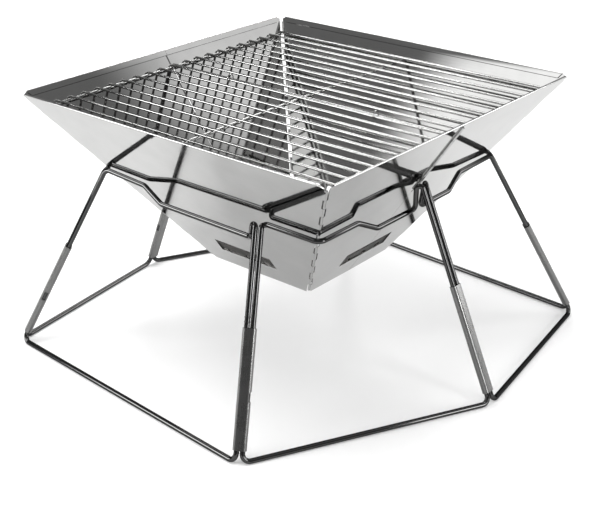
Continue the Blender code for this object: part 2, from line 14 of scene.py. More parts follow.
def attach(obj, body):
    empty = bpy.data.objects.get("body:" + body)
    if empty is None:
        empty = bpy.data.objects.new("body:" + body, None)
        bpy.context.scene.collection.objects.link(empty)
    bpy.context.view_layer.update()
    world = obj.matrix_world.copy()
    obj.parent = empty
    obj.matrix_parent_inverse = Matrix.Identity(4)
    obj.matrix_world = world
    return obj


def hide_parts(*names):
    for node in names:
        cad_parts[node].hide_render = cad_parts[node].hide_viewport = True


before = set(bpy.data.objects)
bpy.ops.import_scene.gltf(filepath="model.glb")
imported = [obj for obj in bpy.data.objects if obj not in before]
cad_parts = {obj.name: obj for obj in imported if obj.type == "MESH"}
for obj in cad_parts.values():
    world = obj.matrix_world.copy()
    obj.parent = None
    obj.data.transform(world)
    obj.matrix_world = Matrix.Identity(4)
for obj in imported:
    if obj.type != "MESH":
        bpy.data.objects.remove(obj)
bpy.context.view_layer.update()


# Camera. A long lens looks down on the corner between the front and right walls, level but for a
# hair of roll.
CAMERA_PLACE = Vector((0.8319, -0.9734, 0.7163))
CAMERA_HEADING = math.radians(-49.42)
CAMERA_DOWN = math.radians(25.83)
CAMERA_ROLL = math.radians(-0.60)
CAMERA_LENS = 69.1
CAMERA_SENSOR = 36.0

ahead = -Vector(
    (
        math.cos(CAMERA_DOWN) * math.cos(CAMERA_HEADING),
        math.cos(CAMERA_DOWN) * math.sin(CAMERA_HEADING),
        math.sin(CAMERA_DOWN),
    )
)
level = ahead.cross(Vector((0.0, 0.0, 1.0))).normalized()
upright = level.cross(ahead)
right = level * math.cos(CAMERA_ROLL) + upright * math.sin(CAMERA_ROLL)
upright = upright * math.cos(CAMERA_ROLL) - level * math.sin(CAMERA_ROLL)

camera = bpy.data.objects.new("camera", bpy.data.cameras.new("camera"))
camera.data.lens = CAMERA_LENS
camera.data.sensor_width = CAMERA_SENSOR
camera.data.sensor_fit = "HORIZONTAL"
camera.matrix_world = Matrix((right, upright, -ahead)).transposed().to_4x4()
camera.matrix_world.translation = CAMERA_PLACE
bpy.context.scene.collection.objects.link(camera)
bpy.context.scene.camera = camera


# Studio. A white floor that runs out of sight, a grey dome with a few bright patches, a wide soft
# lamp overhead and four low panels round the object, which the polished metal mirrors.
class Socket:
    """An output of a node. Arithmetic with numbers or other sockets adds Math nodes."""

    def __init__(self, tree, output):
        self.tree = tree
        self.output = output

    def maths(self, operation, first, second):
        return self.tree.add("ShaderNodeMath", {"operation": operation}, {0: first, 1: second})

    def __add__(self, other):
        return self.maths("ADD", self, other)

    def __sub__(self, other):
        return self.maths("SUBTRACT", self, other)

    def __rsub__(self, other):
        return self.maths("SUBTRACT", other, self)

    def __mul__(self, other):
        return self.maths("MULTIPLY", self, other)

    __radd__ = __add__
    __rmul__ = __mul__


class Tree:
    """The nodes of one material or of the world."""

    def __init__(self, owner):
        owner.use_nodes = True
        self.tree = owner.node_tree
        self.tree.nodes.clear()

    def add(self, kind, settings=None, sockets=None, output=0):
        """Adds a node: its settings first, a ramp's stops among them, then its sockets."""
        node = self.tree.nodes.new(kind)
        for name, value in (settings or {}).items():
            if name == "stops":
                for index, (place, shade) in enumerate(value):
                    stops = node.color_ramp.elements
                    stop = stops[index] if index < len(stops) else stops.new(place)
                    stop.position = place
                    stop.color = (shade, shade, shade, 1.0)
            else:
                setattr(node, name, value)
        for name, value in (sockets or {}).items():
            if isinstance(value, Socket):
                self.tree.links.new(value.output, node.inputs[name])
            else:
                node.inputs[name].default_value = value
        return Socket(self, node.outputs[output]) if node.outputs else node


def toward(heading, height):
    """The direction of a point on the dome, from its heading and height in degrees."""
    level = math.cos(math.radians(height))
    east = level * math.cos(math.radians(heading))
    north = level * math.sin(math.radians(heading))
    return Vector((east, north, math.sin(math.radians(height))))


def glow(tree, direction, heading, height, inner, outer):
    """From 0 to 1 as a direction turns towards a point on the dome. All angles are in degrees."""
    aim = toward(heading, height)
    facing = tree.add(
        "ShaderNodeVectorMath", {"operation": "DOT_PRODUCT"}, {0: direction, 1: aim}, "Value"
    )
    return tree.add(
        "ShaderNodeMapRange",
        {"interpolation_type": "SMOOTHSTEP"},
        {
            "Value": facing,
            "From Min": math.cos(math.radians(outer)),
            "From Max": math.cos(math.radians(inner)),
        },
    )


DOME_BASE = 0.28

# The dome's bright patches. A row is the patch's heading and height, how far from its middle it
# is at its full strength and where it ends, all in degrees, and its strength.
DOME_GLOWS = [
    (0, 90, 10, 50, 0.90),
    (-120, 41, 9, 12, 2.20),
    (63, 31, 8, 13, 1.30),
    (95, 46, 7, 10, 4.00),
    (150, 15, 15, 50, 0.20),
]

world = bpy.data.worlds.new("studio")
bpy.context.scene.world = world
sky = Tree(world)
direction = sky.add("ShaderNodeTexCoord", output="Generated")
brightness = DOME_BASE
for heading, height, inner, outer, strength in DOME_GLOWS:
    brightness = brightness + glow(sky, direction, heading, height, inner, outer) * strength
background = sky.add("ShaderNodeBackground", None, {"Strength": brightness})
sky.add("ShaderNodeOutputWorld", None, {"Surface": background})

FLOOR_SIZE = 24.0
floor_mesh = bpy.data.meshes.new("floor")
floor_shape = bmesh.new()
bmesh.ops.create_grid(floor_shape, x_segments=1, y_segments=1, size=FLOOR_SIZE / 2)
floor_shape.to_mesh(floor_mesh)
floor_shape.free()
floor = bpy.data.objects.new("floor", floor_mesh)
bpy.context.scene.collection.objects.link(floor)

white_floor = bpy.data.materials.new("white_floor")
paint = Tree(white_floor)
white = paint.add(
    "ShaderNodeBsdfPrincipled",
    None,
    {
        "Base Color": (0.80, 0.80, 0.80, 1.0),
        "Roughness": 0.9,
        "Specular IOR Level": 0.1,
        "Emission Color": (1.0, 1.0, 1.0, 1.0),
        "Emission Strength": 0.20,
    },
)
paint.add("ShaderNodeOutputMaterial", None, {"Surface": white})
floor_mesh.materials.append(white_floor)

# The lamps, which all face the origin. A row is the lamp's heading and its height in degrees, its
# distance, width and length in metres, and its power in watts.
LAMPS = {
    "overhead": (-150, 78, 2.80, 1.70, 1.70, 52.0),
    "left_panel": (-130, 19, 2.60, 0.80, 0.85, 32.0),
    "right_panel": (47, 14, 2.60, 0.80, 0.75, 21.0),
    "front_panel": (0, 14, 2.60, 0.55, 0.80, 22.0),
    "back_strip": (130, 34, 3.00, 0.30, 1.60, 22.0),
}
for name, (heading, height, distance, width, length, power) in LAMPS.items():
    lamp = bpy.data.objects.new(name, bpy.data.lights.new(name, "AREA"))
    lamp.data.shape = "RECTANGLE"
    lamp.data.size = width
    lamp.data.size_y = length
    lamp.data.energy = power
    lamp.location = toward(heading, height) * distance
    lamp.rotation_euler = (-lamp.location).to_track_quat("-Z", "Y").to_euler()
    bpy.context.scene.collection.objects.link(lamp)

bpy.context.scene.view_settings.view_transform = "Standard"


# Wire loops. Six closed loops of 6 mm polished stainless rod. Each goes up one leg, round a part
# of the bowl, down the next leg and back along the ground, and is bent cold and butt welded.
ROD_RADIUS = 0.003
ROD_SHAVE = 0.00004
ROD_PITCH = 2 * ROD_RADIUS + 0.0006

# The bowl that the loops go round: its square rim and mouth, its depth, the lean of its walls from
# upright, and the thickness of its sheet.
RIM_HEIGHT = 0.319
RIM_SIDE = 0.450
MOUTH_SIDE = 0.1484
BOWL_DEPTH = 0.2164
SLOPE = math.atan2((RIM_SIDE - MOUTH_SIDE) / 2, BOWL_DEPTH)
SHEET = 0.001

# Drops below the rim, and bend radii, of a loop's ground run, ring and hooks behind a leg.
FOOT_FLAT = 0.00015
GROUND_DROP = RIM_HEIGHT - ROD_RADIUS + FOOT_FLAT
FOOT_BEND = 0.008
RING_TOP = 0.0945
RING_BEND = 0.009
HOOK_TOP = 0.080
HOOK_TURN = math.radians(46.3)
HOOK_REACH = 2 * ROD_RADIUS + 0.0004
HOOK_BEND = HOOK_REACH / 2 - 0.0001
LONGEST_BEND = 0.49

# The walls' headings, in degrees counter-clockwise from +X.
RIGHT, BACK, LEFT, FRONT = 0, 90, 180, 270

# The legs all lean in to a point APEX_HEIGHT above the rim. Each has its heading, as the walls
# have, and how far from the middle it meets the ground.
APEX_HEIGHT = 0.330
LEGS = {
    "left": (225.4, 0.3492),
    "front": (297.7, 0.3042),
    "right": (359.5, 0.2827),
    "far_right": (45.4, 0.3492),
    "back": (117.7, 0.3042),
    "far_left": (179.5, 0.2827),
}


def leg_frame(leg):
    """Outward and sideways directions of a leg."""
    heading = math.radians(LEGS[leg][0])
    out = Vector((math.cos(heading), math.sin(heading), 0.0))
    return out, Vector((-out.y, out.x, 0.0))


def on_leg(leg, side, drop):
    """A rod's middle on a leg, at a drop below the rim. side is -1 or +1, counter-clockwise."""
    out, across = leg_frame(leg)
    reach = LEGS[leg][1] * (APEX_HEIGHT + drop) / (APEX_HEIGHT + RIM_HEIGHT)
    return out * reach + across * side * ROD_PITCH / 2 + Vector((0.0, 0.0, RIM_HEIGHT - drop))


def behind_leg(leg, side, drop, turn):
    """Where a rod comes up behind its leg, turned aside from straight behind it."""
    out, across = leg_frame(leg)
    aside = across * side * math.sin(turn) - out * math.cos(turn)
    return on_leg(leg, side, drop) + aside * HOOK_REACH


def beside_wall(heading, along, drop, clear):
    """A rod's middle that lies a clear distance outside a wall, at a drop below the rim."""
    out = Vector((math.cos(math.radians(heading)), math.sin(math.radians(heading)), 0.0))
    standoff = (SHEET / 2 + clear + ROD_RADIUS) / math.cos(SLOPE)
    reach = RIM_SIDE / 2 - drop * math.tan(SLOPE) + standoff
    place = out * reach + Vector((-out.y, out.x, 0.0)) * along
    place.z = RIM_HEIGHT - drop
    return place


def beside_corner(first, second, drop, clear):
    """Where a rod that follows one wall turns to follow the next."""
    one = beside_wall(first, 0.0, drop, clear)
    two = beside_wall(second, 0.0, drop, clear)
    return Vector((one.x + two.x, one.y + two.y, RIM_HEIGHT - drop))


def rounded(route, steps_per_turn=36):
    """A closed route of (point, bend radius) with an arc in place of each corner.

    An arc takes at most the share LONGEST_BEND of the run on either side of its corner.
    """
    points = []
    count = len(route)
    for index, (corner, radius) in enumerate(route):
        before = route[index - 1][0]
        after = route[(index + 1) % count][0]
        back = (before - corner).normalized()
        ahead = (after - corner).normalized()
        angle = back.angle(ahead)
        room = LONGEST_BEND * min((before - corner).length, (after - corner).length)
        reach = min(radius / math.tan(angle / 2), room)
        bend = reach * math.tan(angle / 2)
        middle = corner + (back + ahead).normalized() * bend / math.sin(angle / 2)
        start = corner + back * reach - middle
        end = corner + ahead * reach - middle
        sweep = math.pi - angle
        steps = max(3, math.ceil(steps_per_turn * sweep / (2 * math.pi)))
        for step in range(steps + 1):
            share = step / steps
            arm = start * math.sin((1 - share) * sweep) + end * math.sin(share * sweep)
            points.append(middle + arm / math.sin(sweep))
    return points


def wire_mesh(name, points, radius, closed=False, sides=16, widths=None):
    """A smooth round wire through the points, which widths, as shares of its radius, can taper."""
    curve = bpy.data.curves.new(name, "CURVE")
    curve.dimensions = "3D"
    curve.bevel_depth = radius
    curve.bevel_resolution = (sides - 4) // 2
    curve.use_fill_caps = not closed
    spline = curve.splines.new("POLY")
    spline.points.add(len(points) - 1)
    for point, place, width in zip(spline.points, points, widths or [1.0] * len(points)):
        point.co = (*place, 1.0)
        point.radius = width
    spline.use_cyclic_u = closed
    return mesh_of(curve, name)


def mesh_of(curve, name):
    """A mesh from a curve, with its caps welded on."""
    holder = bpy.data.objects.new(name, curve)
    bpy.context.scene.collection.objects.link(holder)
    bpy.context.view_layer.update()
    graph = bpy.context.evaluated_depsgraph_get()
    mesh = bpy.data.meshes.new_from_object(holder.evaluated_get(graph))
    bpy.data.objects.remove(holder)
    bpy.data.curves.remove(curve)
    shape = bmesh.new()
    shape.from_mesh(mesh)
    bmesh.ops.remove_doubles(shape, verts=shape.verts, dist=1e-6)
    bmesh.ops.recalc_face_normals(shape, faces=shape.faces)
    shape.to_mesh(mesh)
    shape.free()
    mesh.name = name
    return mesh


def merged(name, parts):
    """One mesh of several (mesh, place) pairs."""
    shape = bmesh.new()
    for mesh, matrix in parts:
        mesh.transform(matrix)
        shape.from_mesh(mesh)
        bpy.data.meshes.remove(mesh)
    mesh = bpy.data.meshes.new(name)
    shape.to_mesh(mesh)
    shape.free()
    return mesh


SHARP_ANGLE = math.radians(32)


def add_piece(name, mesh, finish, body, replaced, matrix=None):
    """Puts a piece in the scene on its body, in place of the frame's plain solid."""
    piece = bpy.data.objects.new(name, mesh)
    mesh.materials.clear()
    mesh.materials.append(finish)
    mesh.shade_smooth()
    mesh.set_sharp_from_angle(angle=SHARP_ANGLE)
    bpy.context.scene.collection.objects.link(piece)
    if matrix is not None:
        piece.matrix_world = matrix
    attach(piece, body)
    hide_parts(replaced)
    return piece


# Finger marks in the metal: how many a metre holds, where they begin and are full in the noise,
# how far they and the grain darken the metal, and its shade where it is darkest.
MARK_SCALE = 34.0
MARK_STOPS = [(0.36, 0.0), (0.72, 1.0)]
MARK_TINT = 0.45
GRAIN_TINT = 0.35
DARK_SHADE = 0.86


def metal(name, colour, roughness, grain, grain_depth, waves, wave_depth, mottle, edge=1.0):
    """Bare metal: a fine grain, a slow waviness, and a mottle of finger marks in its gloss.

    grain and waves are how many features a metre holds along the piece's own X, Y and Z. mottle
    is how much roughness the marks add. edge is how bright the metal stays at grazing angles.
    """
    material = bpy.data.materials.new(name)
    tree = Tree(material)
    place = tree.add("ShaderNodeTexCoord", output="Object")
    scaled = tree.add("ShaderNodeVectorMath", {"operation": "MULTIPLY"}, {0: place, 1: grain})
    streaks = tree.add("ShaderNodeTexNoise", None, {"Vector": scaled, "Scale": 1.0, "Detail": 3.0})
    smudges = tree.add(
        "ShaderNodeTexNoise", None, {"Vector": place, "Scale": MARK_SCALE, "Detail": 5.0}
    )
    waved = tree.add("ShaderNodeVectorMath", {"operation": "MULTIPLY"}, {0: place, 1: waves})
    swell = tree.add("ShaderNodeTexNoise", None, {"Vector": waved, "Scale": 1.0, "Detail": 1.0})
    marks = tree.add("ShaderNodeValToRGB", {"stops": MARK_STOPS}, {"Fac": smudges})
    gloss = roughness + marks * mottle + (streaks - 0.5) * mottle
    dark = tuple(DARK_SHADE * channel for channel in colour)
    tint = tree.add(
        "ShaderNodeMix",
        {"data_type": "RGBA"},
        {
            "Factor": marks * MARK_TINT + streaks * GRAIN_TINT,
            6: (*colour, 1.0),
            7: (*dark, 1.0),
        },
        output=2,
    )
    rolled = tree.add(
        "ShaderNodeBump", None, {"Strength": 1.0, "Distance": wave_depth, "Height": swell}
    )
    brushed = tree.add(
        "ShaderNodeBump",
        None,
        {"Strength": 1.0, "Distance": grain_depth, "Height": streaks, "Normal": rolled},
    )
    surface = tree.add(
        "ShaderNodeBsdfPrincipled",
        None,
        {
            "Base Color": tint,
            "Metallic": 1.0,
            "Roughness": gloss,
            "Specular Tint": (edge, edge, edge, 1.0),
            "Normal": brushed,
        },
    )
    tree.add("ShaderNodeOutputMaterial", None, {"Surface": surface})
    return material


# Painted shade: the rod's near-black colour and its dim edges stand in for the dark surroundings that
# the polished rod mirrors.
polished_wire = metal(
    "polished_wire",
    colour=(0.065, 0.065, 0.065),
    roughness=0.05,
    grain=(260, 260, 260),
    grain_depth=0.00001,
    waves=(30, 30, 30),
    wave_depth=0.0001,
    mottle=0.04,
    edge=0.3,
)


def loop_route(first_leg, last_leg, ring):
    """Up the first leg, round the ring, down the last leg and back along the ground."""
    route = [(on_leg(first_leg, 1, GROUND_DROP), FOOT_BEND)]
    route += ring
    route += [(on_leg(last_leg, -1, GROUND_DROP), FOOT_BEND)]
    return route


# The bends of each ring between its two legs. A row is the wall the rod runs beside, how far along
# that wall, the drop below the rim, the clearance from the sheet, and the bend radius.
FRONT_RING = (
    (FRONT, -0.095, 0.0995, 0.0020, 0.012),
    (FRONT, -0.062, 0.1116, 0.0140, 0.010),
    (FRONT, 0.0735, 0.1122, 0.0145, 0.006),
)
NEAR_RING = (
    (RIGHT, -0.105, 0.0922, 0.0026, 0.012),
    (RIGHT, -0.0765, 0.1066, 0.0140, 0.010),
    (RIGHT, -0.0055, 0.1080, 0.0140, 0.005),
)
FAR_RING = (
    (RIGHT, 0.0040, 0.1080, 0.0140, 0.005),
    (RIGHT, 0.0603, 0.1085, 0.0140, 0.010),
    (RIGHT, 0.0882, 0.0955, 0.0026, 0.012),
)
FRONT_LEG_TOP = RING_TOP - 0.0025
FRONT_LEG_RISE = 0.0120
FRONT_HOOK_TURN = math.radians(43)
FAR_LEG_TOP = RING_TOP + 0.0020
CORNER_DROP = 0.0922
CORNER_CLEAR = 0.0020


def bends(rows):
    """The rows of a ring as (point, bend radius)."""
    return [(beside_wall(wall, along, drop, clear), bend) for wall, along, drop, clear, bend in rows]


front_ring = [(on_leg("left", 1, RING_TOP), RING_BEND)] + bends(FRONT_RING) + [
    (behind_leg("front", -1, FRONT_LEG_TOP + FRONT_LEG_RISE, FRONT_HOOK_TURN), HOOK_BEND),
    (behind_leg("front", -1, FRONT_LEG_TOP, FRONT_HOOK_TURN), HOOK_BEND),
    (on_leg("front", -1, FRONT_LEG_TOP), HOOK_BEND),
]
near_ring = [
    (on_leg("front", 1, FRONT_LEG_TOP), HOOK_BEND),
    (behind_leg("front", 1, FRONT_LEG_TOP, FRONT_HOOK_TURN), HOOK_BEND),
    (beside_corner(FRONT, RIGHT, CORNER_DROP, CORNER_CLEAR), RING_BEND),
] + bends(NEAR_RING) + [
    (behind_leg("right", -1, HOOK_TOP, HOOK_TURN), HOOK_BEND),
    (on_leg("right", -1, HOOK_TOP), HOOK_BEND),
]
far_ring = [
    (on_leg("right", 1, HOOK_TOP), HOOK_BEND),
    (behind_leg("right", 1, HOOK_TOP, HOOK_TURN), HOOK_BEND),
] + bends(FAR_RING) + [
    (on_leg("far_right", -1, FAR_LEG_TOP), RING_BEND),
]


# The beads of the butt weld that closes the front and back loops, above their last leg's sleeve.
WELD_DROPS = (0.1785, 0.1830)
WELD_LENGTH = 0.0024
WELD_WIDTHS = (0.90, 1.08, 1.10, 1.08, 0.90)


def weld_bead(leg, side, drop):
    """A ring of weld round a rod of a leg, as a (mesh, place) pair."""
    half = WELD_LENGTH / 2
    low, high = on_leg(leg, side, drop + half), on_leg(leg, side, drop - half)
    last = len(WELD_WIDTHS) - 1
    points = [low.lerp(high, step / last) for step in range(last + 1)]
    return wire_mesh("bead", points, ROD_RADIUS, widths=WELD_WIDTHS), Matrix.Identity(4)


# Each loop and the same loop half a turn round. The underside of each ground run is filed flat, and
# the rods are a hair thinner than in the part, so that their round sides stay inside its box.
half_turn = Matrix.Rotation(math.pi, 4, "Z")
for first_name, second_name, route in (
    ("front_loop", "back_loop", loop_route("left", "front", front_ring)),
    ("right_near_loop", "left_far_loop", loop_route("front", "right", near_ring)),
    ("right_far_loop", "left_near_loop", loop_route("right", "far_right", far_ring)),
):
    for name, turn in ((first_name, Matrix.Identity(4)), (second_name, half_turn)):
        mesh = wire_mesh(name + "_rod", rounded(route), ROD_RADIUS - ROD_SHAVE, closed=True)
        for vertex in mesh.vertices:
            vertex.co.z = max(vertex.co.z, 0.0)
        if name in ("front_loop", "back_loop"):
            beads = [weld_bead("front", -1, drop) for drop in WELD_DROPS]
            mesh = merged(name + "_rod", [(mesh, Matrix.Identity(4))] + beads)
        add_piece(name + "_rod", mesh, polished_wire, name, name, turn)


# Leg sleeves. A short flattened tube of satin stainless round the two rods of each leg. A bite is
# taken out of one edge, where the tube was crimped on its rods. The back leg's is open on one side.
SLEEVE_WALL = 0.0009
SLEEVE_CLEARANCE = 0.0004
SLEEVE_START = 0.0130
SLEEVE_LENGTH = 0.128

# The sleeve that is open on one side, and how far past its middle its walls end there.
OPEN_LEG = "back"
OPEN_EDGE = 0.0014

# The bite and its height above the sleeve's lower end, then the block that cuts it: how far that
# reaches and flares past the bite, and its width.
BITE_LENGTH = 0.0125
BITE_DEPTH = 0.0017
BITE_HEIGHT = 0.056
CUTTER_REACH = 0.004
CUTTER_FLARE = 0.002
CUTTER_WIDTH = 0.04

satin_tube = metal(
    "satin_sleeve",
    colour=(0.17, 0.17, 0.168),
    roughness=0.24,
    grain=(700, 700, 14),
    grain_depth=0.00002,
    waves=(60, 60, 9),
    wave_depth=0.0002,
    mottle=0.10,
)


def plate_mesh(name, outlines, thickness, chamfer=0.0):
    """A flat plate from its outline and holes, centred on its own plane, with chamfered edges."""
    curve = bpy.data.curves.new(name, "CURVE")
    curve.dimensions = "2D"
    curve.fill_mode = "BOTH"
    curve.extrude = thickness / 2 - chamfer
    curve.bevel_depth = chamfer
    curve.bevel_resolution = 0
    curve.offset = -chamfer
    for outline in outlines:
        spline = curve.splines.new("POLY")
        spline.points.add(len(outline) - 1)
        for point, (x, y) in zip(spline.points, outline):
            point.co = (x, y, 0.0, 1.0)
        spline.use_cyclic_u = True
    return mesh_of(curve, name)


def half_round(side, radius, steps=14):
    """Half a turn about one rod of a sleeve, on the side away from the other rod."""
    points = []
    for step in range(steps + 1):
        angle = side * math.pi * (step / steps - 0.5)
        x = side * (ROD_PITCH / 2 + radius * math.cos(angle))
        points.append((x, radius * math.sin(angle)))
    return points


def cut_bite(mesh, outer):
    """Cuts a shallow bite with sloping ends out of one edge of a sleeve."""
    low = ROD_PITCH / 2 + outer - BITE_DEPTH
    half = BITE_LENGTH / 2
    outline = [(low, half - BITE_DEPTH), (low, BITE_DEPTH - half)]
    outline.append((low + CUTTER_REACH, -half - CUTTER_FLARE))
    outline.append((low + CUTTER_REACH, half + CUTTER_FLARE))
    cutter = plate_mesh("bite", [outline], CUTTER_WIDTH)
    cutter.transform(Matrix.Rotation(math.pi / 2, 4, "X"))
    cutter.transform(Matrix.Translation((0.0, 0.0, BITE_HEIGHT - SLEEVE_LENGTH / 2)))
    sleeve = bpy.data.objects.new("sleeve", mesh)
    bite = bpy.data.objects.new("bite", cutter)
    for holder in (sleeve, bite):
        bpy.context.scene.collection.objects.link(holder)
    modifier = sleeve.modifiers.new("bite", "BOOLEAN")
    modifier.operation = "DIFFERENCE"
    modifier.object = bite
    bpy.context.view_layer.update()
    graph = bpy.context.evaluated_depsgraph_get()
    bitten = bpy.data.meshes.new_from_object(sleeve.evaluated_get(graph))
    for holder in (sleeve, bite):
        bpy.data.objects.remove(holder)
    return bitten


for leg in LEGS:
    low = (on_leg(leg, -1, GROUND_DROP) + on_leg(leg, 1, GROUND_DROP)) / 2
    high = (on_leg(leg, -1, RING_TOP) + on_leg(leg, 1, RING_TOP)) / 2
    axis = (high - low).normalized()
    across = leg_frame(leg)[1]
    matrix = Matrix((across, axis.cross(across), axis)).transposed().to_4x4()
    matrix.translation = low + axis * (SLEEVE_START + SLEEVE_LENGTH / 2)
    bore = ROD_RADIUS + SLEEVE_CLEARANCE
    outer = bore + SLEEVE_WALL
    name = leg + "_sleeve"
    if leg == OPEN_LEG:
        rim = [(OPEN_EDGE, outer)] + half_round(-1, outer) + [(OPEN_EDGE, -outer)]
        rim += [(OPEN_EDGE, -bore)] + half_round(-1, bore)[::-1] + [(OPEN_EDGE, bore)]
        mesh = plate_mesh(name + "_tube", [rim], SLEEVE_LENGTH)
    else:
        rims = [half_round(1, size) + half_round(-1, size) for size in (outer, bore)]
        mesh = cut_bite(plate_mesh(name + "_tube", rims, SLEEVE_LENGTH), outer)
    add_piece(name + "_tube", mesh, satin_tube, name, name, matrix)


# Bowl walls. Sheets of polished stainless with a fine brushed grain, hemmed along the rim. Tabs
# along their edges are rolled into knuckles, inside at the corners and outside at the folds.

# A wall in its own plane: its length down the slope, the lean and the length of its corner edges,
# and the angle that it makes with the next wall.
SLANT = math.hypot((RIM_SIDE - MOUTH_SIDE) / 2, BOWL_DEPTH)
EDGE_LEAN = math.atan2((RIM_SIDE - MOUTH_SIDE) / 2, SLANT)
EDGE_LENGTH = math.hypot((RIM_SIDE - MOUTH_SIDE) / 2, SLANT)
CORNER_ANGLE = math.acos(-(math.sin(SLOPE) ** 2))
CUT_EDGE = 0.00015

# The hem along the rim: HEM_SETBACK is how far it ends short of a corner, HEM_MITRE the slant of
# that end, and FOLD_FLATNESS is below 1 for a fold that is pressed flatter than round.
HEM_WIDTH = 0.0075
HEM_FOLD = 0.00105
HEM_GAP = 0.0001
HEM_THICKNESS = SHEET + HEM_GAP
HEM_OVERLAP = 0.0006
HEM_UNDERCUT = 0.0008
HEM_SETBACK = 0.0095
HEM_MITRE = 0.6
FOLD_FLATNESS = 0.55
FOLD_STEPS = 12

# The air slot near the foot of each wall.
VENT_LENGTH = 0.086
VENT_HEIGHT = 0.022
VENT_RISE = 0.0325

# The hinges: their pins, the bores and barrels of their knuckles, how far the pin's axis stands off
# the sheet and the sheet's edge off the axis, and where the knuckles of a corner and a fold begin.
PIN_RADIUS = 0.0005
PIN_CLEARANCE = 0.0002
BORE_RADIUS = PIN_RADIUS + PIN_CLEARANCE
BARREL_WALL = 0.0006
BARREL_RADIUS = BORE_RADIUS / math.cos(math.pi / 6) + BARREL_WALL
BARREL_SIDES = 20
AXIS_OFFSET = BORE_RADIUS + SHEET / 2 + 0.0001
EDGE_SETBACK = BARREL_RADIUS + 0.0005
CORNER_INSET = AXIS_OFFSET / math.tan(CORNER_ANGLE / 2)
KNUCKLE_PITCH = 0.0205
KNUCKLE_GAP = 0.0005
CORNER_NOTCH = 0.010
CORNER_FOOT = 0.005
CREASE_END = 0.004
CREASE_LENGTH = 0.112
CREASE_RIM = 0.0030
SEAM_GAP = 0.0003

brushed_sheet = metal(
    "brushed_sheet",
    colour=(0.45, 0.45, 0.445),
    roughness=0.03,
    grain=(9, 900, 900),
    grain_depth=0.000004,
    waves=(7, 7, 7),
    wave_depth=0.00016,
    mottle=0.03,
    edge=0.88,
)


def wall_frame(heading):
    """A wall's own frame: X along the rim, Y up the slope, Z outward."""
    out = Vector((math.cos(math.radians(heading)), math.sin(math.radians(heading)), 0.0))
    along = Vector((-out.y, out.x, 0.0))
    normal = out * math.cos(SLOPE) - Vector((0.0, 0.0, math.sin(SLOPE)))
    matrix = Matrix((along, normal.cross(along), normal)).transposed().to_4x4()
    matrix.translation = out * RIM_SIDE / 2 + Vector((0.0, 0.0, RIM_HEIGHT))
    return matrix


def corner_edge(side, down, inward):
    """A point by a corner hinge: side is +1 or -1, down runs along the edge from the rim."""
    reach = CORNER_INSET + inward
    x = RIM_SIDE / 2 - down * math.sin(EDGE_LEAN) - reach * math.cos(EDGE_LEAN)
    y = -down * math.cos(EDGE_LEAN) + reach * math.sin(EDGE_LEAN)
    return side * x, y


def crease_edge(side, down, inward):
    """A point by the centre hinge of a split wall; side tells which half."""
    return side * inward, -down


def knuckles(length, start, end, first):
    """The (start, end) of every second knuckle along a hinge."""
    count = round((length - start - end) / KNUCKLE_PITCH)
    pitch = (length - start - end) / count
    found = []
    for index in range(first, count, 2):
        low = start + index * pitch + KNUCKLE_GAP / 2
        found.append((low, low + pitch - KNUCKLE_GAP))
    return found


def corner_spans(first):
    """The knuckles of a corner edge, or none where the edge is plain."""
    return [] if first is None else knuckles(EDGE_LENGTH, CORNER_NOTCH, CORNER_FOOT, first)


def crease_spans(first):
    """The knuckles of a centre fold."""
    return knuckles(CREASE_LENGTH, CREASE_END, CREASE_END, first)


def toothed_edge(place, side, length, spans, notch):
    """The points of a hinged edge from the rim down, with a tab at every knuckle."""
    points = [place(side, notch, EDGE_SETBACK)]
    for low, high in spans:
        points += [place(side, low, EDGE_SETBACK), place(side, low, 0.0)]
        points += [place(side, high, 0.0), place(side, high, EDGE_SETBACK)]
    points.append(place(side, length, EDGE_SETBACK))
    return [(x, min(-HEM_FOLD, max(-SLANT, y))) for x, y in points]


def seam_edge(side, spans):
    """The centre edge of a split wall: hinged at the top, then a close seam with half of the vent."""
    close = side * SEAM_GAP
    reach = side * VENT_LENGTH / 2
    vent_low = -SLANT + VENT_RISE
    vent_top = vent_low + VENT_HEIGHT
    points = [(close, -HEM_FOLD), (close, -CREASE_RIM)]
    points += toothed_edge(crease_edge, side, CREASE_LENGTH, spans, CREASE_RIM)
    points += [(close, -CREASE_LENGTH), (close, vent_top), (reach, vent_top)]
    return points + [(reach, vent_low), (close, vent_low), (close, -SLANT)]


def circle(radius, sides):
    """The (x, y) points of a circle."""
    turn = 2 * math.pi / sides
    return [(radius * math.cos(turn * k), radius * math.sin(turn * k)) for k in range(sides)]


def rolled_knuckles(place, side, spans, depth):
    """Short tubes along a hinge, as (mesh, place) pairs in the wall's frame."""
    found = []
    for low, high in spans:
        start = Vector((*place(side, low, 0.0), depth))
        end = Vector((*place(side, high, 0.0), depth))
        rings = [circle(BARREL_RADIUS, BARREL_SIDES), circle(BORE_RADIUS, BARREL_SIDES)]
        mesh = plate_mesh("knuckle", rings, (end - start).length)
        turn = (end - start).to_track_quat("Z", "Y").to_matrix().to_4x4()
        found.append((mesh, Matrix.Translation((start + end) / 2) @ turn))
    return found


